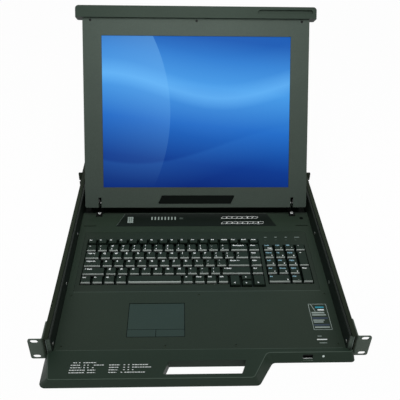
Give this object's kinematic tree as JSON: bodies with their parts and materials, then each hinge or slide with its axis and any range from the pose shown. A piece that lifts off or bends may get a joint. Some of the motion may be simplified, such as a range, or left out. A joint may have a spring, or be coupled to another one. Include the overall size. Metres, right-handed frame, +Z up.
{
  "type": "rackmount lcd console drawer",
  "caption": "Rack-mounted sliding drawer with a fold-down flat display, full keyboard with number pad, touchpad and port keys, on telescopic slides.",
  "frame": {"origin": "centre of the four front rack slots, on the front face of the front rack ears", "axes": "+X to the user's right, +Y to the back of the rack, +Z up; tray pushed in and display open at joint value 0"},
  "size_m": [0.4826, 0.6387, 0.345],
  "materials": {
    "powder_coat": "fine-textured dark charcoal powder coat",
    "moulding": "fine-textured dark charcoal moulding",
    "keycap": "black, satin",
    "touch_surface": "satin grey-blue",
    "zinc": "zinc-plated",
    "black_steel": "black, satin",
    "screen": "glossy lit screen",
    "module_case": "plain",
    "circuit_board": "green solder mask",
    "black_plastic": "black",
    "lamp": "clear lens"
  },
  "bodies": {
    "rack_frame": {"rail_left": "powder_coat", "rail_right": "powder_coat", "front_ear_left": "powder_coat", "front_ear_right": "powder_coat", "rear_bracket_left": "powder_coat", "rear_bracket_right": "powder_coat"},
    "slide_middle_left": {"slide_middle_left": "zinc"},
    "slide_middle_right": {"slide_middle_right": "zinc"},
    "drawer": {"slide_inner_left": "zinc", "slide_inner_right": "zinc", "slide_cap_left": "powder_coat", "slide_cap_right": "powder_coat", "tray_pan": "powder_coat", "deck_cover": "powder_coat", "front_handle": "moulding", "usb_socket": "zinc", "front_lamp": "lamp", "keyboard_frame": "moulding", "key_guide_plate": "black_steel", "keyboard_board": "circuit_board", "touchpad": "touch_surface", "control_strip": "black_plastic", "port_lamps": "lamp", "hinge_arm_left": "black_steel", "hinge_arm_right": "black_steel", "hinge_pins": "zinc", "rear_cover": "powder_coat", "main_board": "circuit_board", "port_connectors": "zinc", "power_supply": "zinc", "power_inlet": "black_plastic"},
    "display": {"display_bezel": "moulding", "display_shell": "powder_coat", "display_handle_bar": "moulding", "display_control_panel": "black_plastic", "screen_panel": "screen", "display_module": "module_case", "display_board": "circuit_board", "hinge_lugs": "zinc"},
    "touch_button_left": {"touch_button_left": "touch_surface"},
    "touch_button_right": {"touch_button_right": "touch_surface"},
    "key_space": {"key_space": "keycap"},
    "key_enter": {"key_enter": "keycap"},
    "key_backspace": {"key_backspace": "keycap"},
    "key_shift_left": {"key_shift_left": "keycap"},
    "key_shift_right": {"key_shift_right": "keycap"},
    "pad_key_plus": {"pad_key_plus": "keycap"},
    "pad_key_enter": {"pad_key_enter": "keycap"},
    "pad_key_zero": {"pad_key_zero": "keycap"},
    "keys_function_row": {"keys_function_row": "keycap"},
    "keys_number_row": {"keys_number_row": "keycap"},
    "keys_upper_row": {"keys_upper_row": "keycap"},
    "keys_home_row": {"keys_home_row": "keycap"},
    "keys_lower_row": {"keys_lower_row": "keycap"},
    "keys_control_row": {"keys_control_row": "keycap"},
    "keys_arrows": {"keys_arrows": "keycap"},
    "keys_number_pad": {"keys_number_pad": "keycap"}
  },
  "joints": [
    {"name": "drawer_slide", "type": "slide", "parent": "rack_frame", "child": "drawer", "axis": [0, -1, 0], "range_m": [0, 0.42]},
    {"name": "middle_left_slide", "type": "slide", "parent": "rack_frame", "child": "slide_middle_left", "axis": [0, -1, 0], "range_m": [0, 0.21]},
    {"name": "middle_right_slide", "type": "slide", "parent": "rack_frame", "child": "slide_middle_right", "axis": [0, -1, 0], "range_m": [0, 0.21]},
    {"name": "display_hinge", "type": "hinge", "parent": "drawer", "child": "display", "pos_m": [0, 0.3245, 0.0169], "axis": [1, 0, 0], "range_deg": [0, 121.6]},
    {"name": "touch_left_press", "type": "slide", "parent": "drawer", "child": "touch_button_left", "axis": [0, 0, -1], "range_m": [0, 0.0005], "stiffness_N_per_m": 800, "springref_m": -0.0005},
    {"name": "touch_right_press", "type": "slide", "parent": "drawer", "child": "touch_button_right", "axis": [0, 0, -1], "range_m": [0, 0.0005], "stiffness_N_per_m": 800, "springref_m": -0.0005},
    {"name": "key_space_press", "type": "slide", "parent": "drawer", "child": "key_space", "axis": [0, 0, -1], "range_m": [0, 0.0028], "stiffness_N_per_m": 150, "springref_m": -0.002},
    {"name": "key_enter_press", "type": "slide", "parent": "drawer", "child": "key_enter", "axis": [0, 0, -1], "range_m": [0, 0.0028], "stiffness_N_per_m": 150, "springref_m": -0.002},
    {"name": "key_backspace_press", "type": "slide", "parent": "drawer", "child": "key_backspace", "axis": [0, 0, -1], "range_m": [0, 0.0028], "stiffness_N_per_m": 150, "springref_m": -0.002},
    {"name": "key_shift_left_press", "type": "slide", "parent": "drawer", "child": "key_shift_left", "axis": [0, 0, -1], "range_m": [0, 0.0028], "stiffness_N_per_m": 150, "springref_m": -0.002},
    {"name": "key_shift_right_press", "type": "slide", "parent": "drawer", "child": "key_shift_right", "axis": [0, 0, -1], "range_m": [0, 0.0028], "stiffness_N_per_m": 150, "springref_m": -0.002},
    {"name": "pad_key_plus_press", "type": "slide", "parent": "drawer", "child": "pad_key_plus", "axis": [0, 0, -1], "range_m": [0, 0.0028], "stiffness_N_per_m": 150, "springref_m": -0.002},
    {"name": "pad_key_enter_press", "type": "slide", "parent": "drawer", "child": "pad_key_enter", "axis": [0, 0, -1], "range_m": [0, 0.0028], "stiffness_N_per_m": 150, "springref_m": -0.002},
    {"name": "pad_key_zero_press", "type": "slide", "parent": "drawer", "child": "pad_key_zero", "axis": [0, 0, -1], "range_m": [0, 0.0028], "stiffness_N_per_m": 150, "springref_m": -0.002},
    {"name": "keys_function_row_press", "type": "slide", "parent": "drawer", "child": "keys_function_row", "axis": [0, 0, -1], "range_m": [0, 0.0028], "stiffness_N_per_m": 2550, "springref_m": -0.002},
    {"name": "keys_number_row_press", "type": "slide", "parent": "drawer", "child": "keys_number_row", "axis": [0, 0, -1], "range_m": [0, 0.0028], "stiffness_N_per_m": 2100, "springref_m": -0.002},
    {"name": "keys_upper_row_press", "type": "slide", "parent": "drawer", "child": "keys_upper_row", "axis": [0, 0, -1], "range_m": [0, 0.0028], "stiffness_N_per_m": 2250, "springref_m": -0.002},
    {"name": "keys_home_row_press", "type": "slide", "parent": "drawer", "child": "keys_home_row", "axis": [0, 0, -1], "range_m": [0, 0.0028], "stiffness_N_per_m": 1950, "springref_m": -0.002},
    {"name": "keys_lower_row_press", "type": "slide", "parent": "drawer", "child": "keys_lower_row", "axis": [0, 0, -1], "range_m": [0, 0.0028], "stiffness_N_per_m": 1650, "springref_m": -0.002},
    {"name": "keys_control_row_press", "type": "slide", "parent": "drawer", "child": "keys_control_row", "axis": [0, 0, -1], "range_m": [0, 0.0028], "stiffness_N_per_m": 1200, "springref_m": -0.002},
    {"name": "keys_arrows_press", "type": "slide", "parent": "drawer", "child": "keys_arrows", "axis": [0, 0, -1], "range_m": [0, 0.0028], "stiffness_N_per_m": 600, "springref_m": -0.002},
    {"name": "keys_number_pad_press", "type": "slide", "parent": "drawer", "child": "keys_number_pad", "axis": [0, 0, -1], "range_m": [0, 0.0028], "stiffness_N_per_m": 2100, "springref_m": -0.002}
  ],
  "couplings": [
    {"joint": "middle_left_slide", "follows": "drawer_slide", "ratio": 0.5},
    {"joint": "middle_right_slide", "follows": "drawer_slide", "ratio": 0.5}
  ]
}
